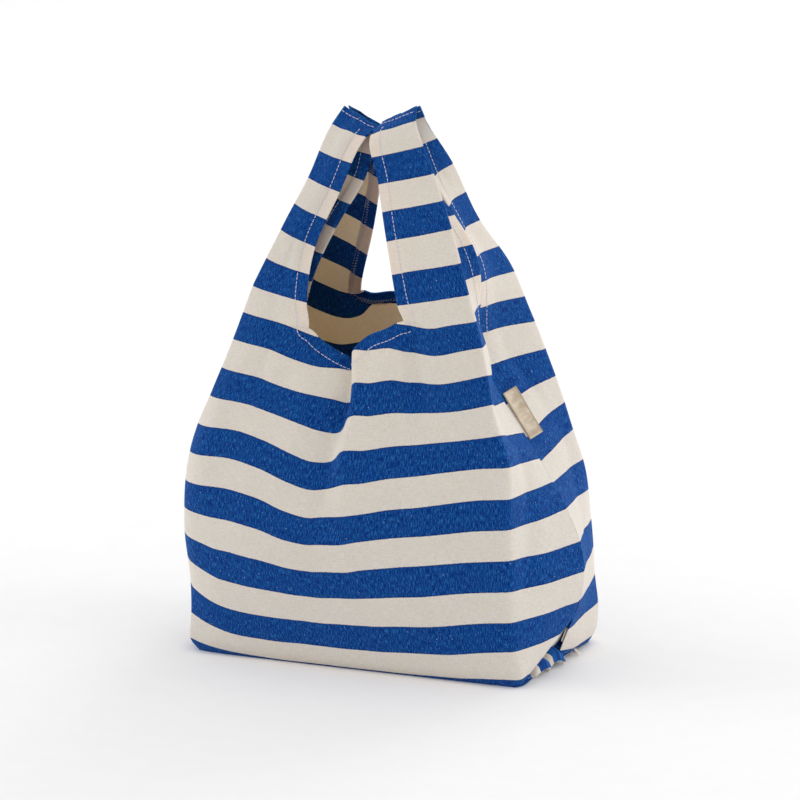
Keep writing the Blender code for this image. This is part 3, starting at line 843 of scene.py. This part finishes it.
# Under the right front corner: the gusset's foot turned in along its diagonal
t, w = np.linspace(0, 1, 40), np.linspace(0, 1, 14)[:, None]
edge = np.stack([13.75 + 1.5 * t, -7.0 + 6.9 * t, 0.15 + 3.9 * t], -1)
floor_line = np.stack([11.6 + 1.2 * t, -6.4 + 8.0 * t, 0.15 + 0.3 * t], -1)
turned = edge[None] * (1 - w[..., None]) + floor_line[None] * w[..., None]
turned[..., 2] -= 0.5 * np.sin(w * math.pi) * t
count = 3.2 + 0.4 * t - w * np.linalg.norm(floor_line - edge, axis=1)
loose("corner_fold", np.concatenate([turned, count[..., None]], -1), 14 + 7 * t, -1)

# And beside it the loose cloth in upright folds, running back along s and out from the bag with reach
waves, s = 4.0, np.linspace(0, 1, 150)
reach = np.linspace(0, 1, 26)[:, None]
mid = -6.7 + 9.4 * s
tip = np.interp(mid, (-7, -4.2, -1.5, 2.6), (13.6, 14.1, 14.5, 14.7))
tip = tip + 0.28 * np.sin(s * 19.0 + 1.0) * s
x = 10.6 + (tip - 10.6) * reach
wave = 2 * math.pi * waves * s
lean = 0.12 * (x - 12)
turn = wave + 0.35 * (x - 13)
y = mid + lean - (0.5 + 0.3 * np.sin(s * 15 + 2)) * np.sin(turn) * (0.6 + 0.4 * reach)
round_off = np.sqrt(np.clip(1 - np.clip((x - tip + 0.75) / 0.75, 0, 1) ** 2, 0.0, 1))
z = 0.1 + (0.32 + 0.55 * s) * (1 - np.cos(turn)) * (0.35 + 0.65 * round_off) + 0.35 * s * round_off
count = np.broadcast_to(-3.7 - PERIOD * waves * s + 0.5 * np.sin(s * 23), x.shape)
loose("base_folds", np.stack([x, y, z, count], -1), 14 + 7 * s, 1)

# Seam allowances: the two side seams' raw edges, pressed towards the back and overlocked
body = panels["back"][0]
keep = body.rows[:, 0] > 0.5
for side, columns in (("left", slice(0, 6)), ("right", slice(-6, None))):
    p, n = body.points[keep][:, columns], body.normals[keep][:, columns]
    grid = np.concatenate([p - n * 0.19, body.up[keep][:, columns, None]], -1)
    allowance = loose(side + "_seam_allowance", grid, body.across[0, columns], body.outward)
    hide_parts(side + "_side_seam")
    inner = np.concatenate([p - n * 0.27, -n], -1)
    edge, far = (4, 2) if side == "left" else (1, 3)
    locked = overlock_tubes(side + "_seam_overlock", inner[:, edge], inner[:, far])
    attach(locked, "bag")

# The side label: a folded satin loop, caught in the seam along one edge. It runs along its hinge, and the CAD
# label's broadest face says which way it looks
node = bpy.data.objects["side_label"]
spots = np.array([node.matrix_world @ v.co for v in node.data.vertices]) / CM
hinge = next(joint for joint in frame["joints"] if joint["name"] == "label")
broadest = max(node.data.polygons, key=lambda face: face.area)
along = np.array(Vector(hinge["axis"]).normalized())
out = np.array(node.matrix_world.to_3x3() @ broadest.normal)
out *= np.sign(out[0])
spread = np.cross(along, out)
spread *= np.sign(spread[1])
low, high = (np.array([f(spots @ d) for d in (along, spread, out)]) for f in (np.min, np.max))
shape = (60, 24)  # points along it and across it
a = np.linspace(low[0], high[0], shape[0])[:, None]
b = np.linspace(low[1], high[1], shape[1])[None]
share_a, share_b = (a - low[0]) / (high[0] - low[0]), (b - low[1]) / (high[1] - low[1])
lift = high[2] - 0.02 + 0.03 * np.sin(share_a * math.pi * 2.1 + 0.6) * share_b + 0.06 * share_b ** 2
round_edge = 0.035 * np.clip((share_b - 0.93) / 0.07, 0, 1) ** 2
front_side = a[..., None] * along + b[..., None] * spread + (lift - round_edge)[..., None] * out
thin = 0.045  # both layers of the satin
co = np.concatenate([front_side.reshape(-1, 3), (front_side - out * thin + 0 * b[..., None]).reshape(-1, 3)])
count = shape[0] * shape[1]
index = np.arange(count).reshape(shape)
quads = np.stack([index[:-1, :-1], index[:-1, 1:], index[1:, 1:], index[1:, :-1]], -1).reshape(-1, 4)
loop = np.concatenate([index[0, :-1], index[:-1, -1], index[-1, :0:-1], index[:0:-1, 0]])
rim = np.stack([np.roll(loop, -1), loop, loop + count, np.roll(loop, -1) + count], -1)
from_middle = [np.tile(np.broadcast_to(v - (low[k] + high[k]) / 2, shape).ravel(), 2)
               for k, v in enumerate((a, b))]
label = new_mesh("side_label_satin", co, np.concatenate([quads, quads[:, ::-1] + count, rim]), satin,
                 label_along=from_middle[0], label_across=from_middle[1])
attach(label, "label")
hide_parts("side_label")

# The camera stands far off with a long lens, in metres
AZIMUTH, ELEVATION = math.radians(22), math.radians(16)
right = Vector((math.cos(AZIMUTH), math.sin(AZIMUTH), 0))
up = Vector((-math.sin(AZIMUTH) * math.sin(ELEVATION), math.cos(AZIMUTH) * math.sin(ELEVATION),
             math.cos(ELEVATION)))
back = right.cross(up)
camera = bpy.data.objects.new("camera", bpy.data.cameras.new("camera"))
bpy.context.scene.collection.objects.link(camera)
camera.location = right * 0.0079 + up * 0.194 + back * 15.0
camera.rotation_euler = back.to_track_quat("Z", "Y").to_euler()
camera.data.lens = 853
camera.data.clip_end = 60
bpy.context.scene.camera = camera

world = bpy.data.worlds.new("world")
world.use_nodes = True
world.node_tree.nodes["Background"].inputs["Color"].default_value = (1, 1, 1, 1)
world.node_tree.nodes["Background"].inputs["Strength"].default_value = 0.86
bpy.context.scene.world = world
bpy.context.scene.view_settings.view_transform = "Standard"


def soft_light(name, place, watts, size=1.6, aim=(0, 0, 0.2)):
    """A square area light turned towards the bag."""
    light = bpy.data.objects.new(name, bpy.data.lights.new(name, "AREA"))
    light.data.size = size
    light.data.energy = watts
    light.location = place
    light.rotation_euler = (Vector(place) - Vector(aim)).to_track_quat("Z", "Y").to_euler()
    bpy.context.scene.collection.objects.link(light)


soft_light("key", (-2.2, -0.5, 1.5), 12)
soft_light("fill", (2.2, 0.3, 1.3), 9)
soft_light("rear", (0.4, 2.4, 1.5), 16)

paper = Nodes("pale_floor_look")
paper.shader.inputs["Roughness"].default_value = 0.9
speck = paper.noise(paper.put("ShaderNodeTexCoord").outputs["Object"], 40.0, 2.0, 0.5)
paper.feed(paper.shader.inputs["Base Color"], paper.mix(speck, (0.90, 0.90, 0.90, 1), (0.93, 0.93, 0.93, 1)))
FLOOR_HALF, FLOOR_Z = 900, -0.02
corners = [(x * FLOOR_HALF, y * FLOOR_HALF, FLOOR_Z) for x, y in ((-1, -1), (1, -1), (1, 1), (-1, 1))]
new_mesh("floor", corners, [(0, 1, 2, 3)], paper.material)
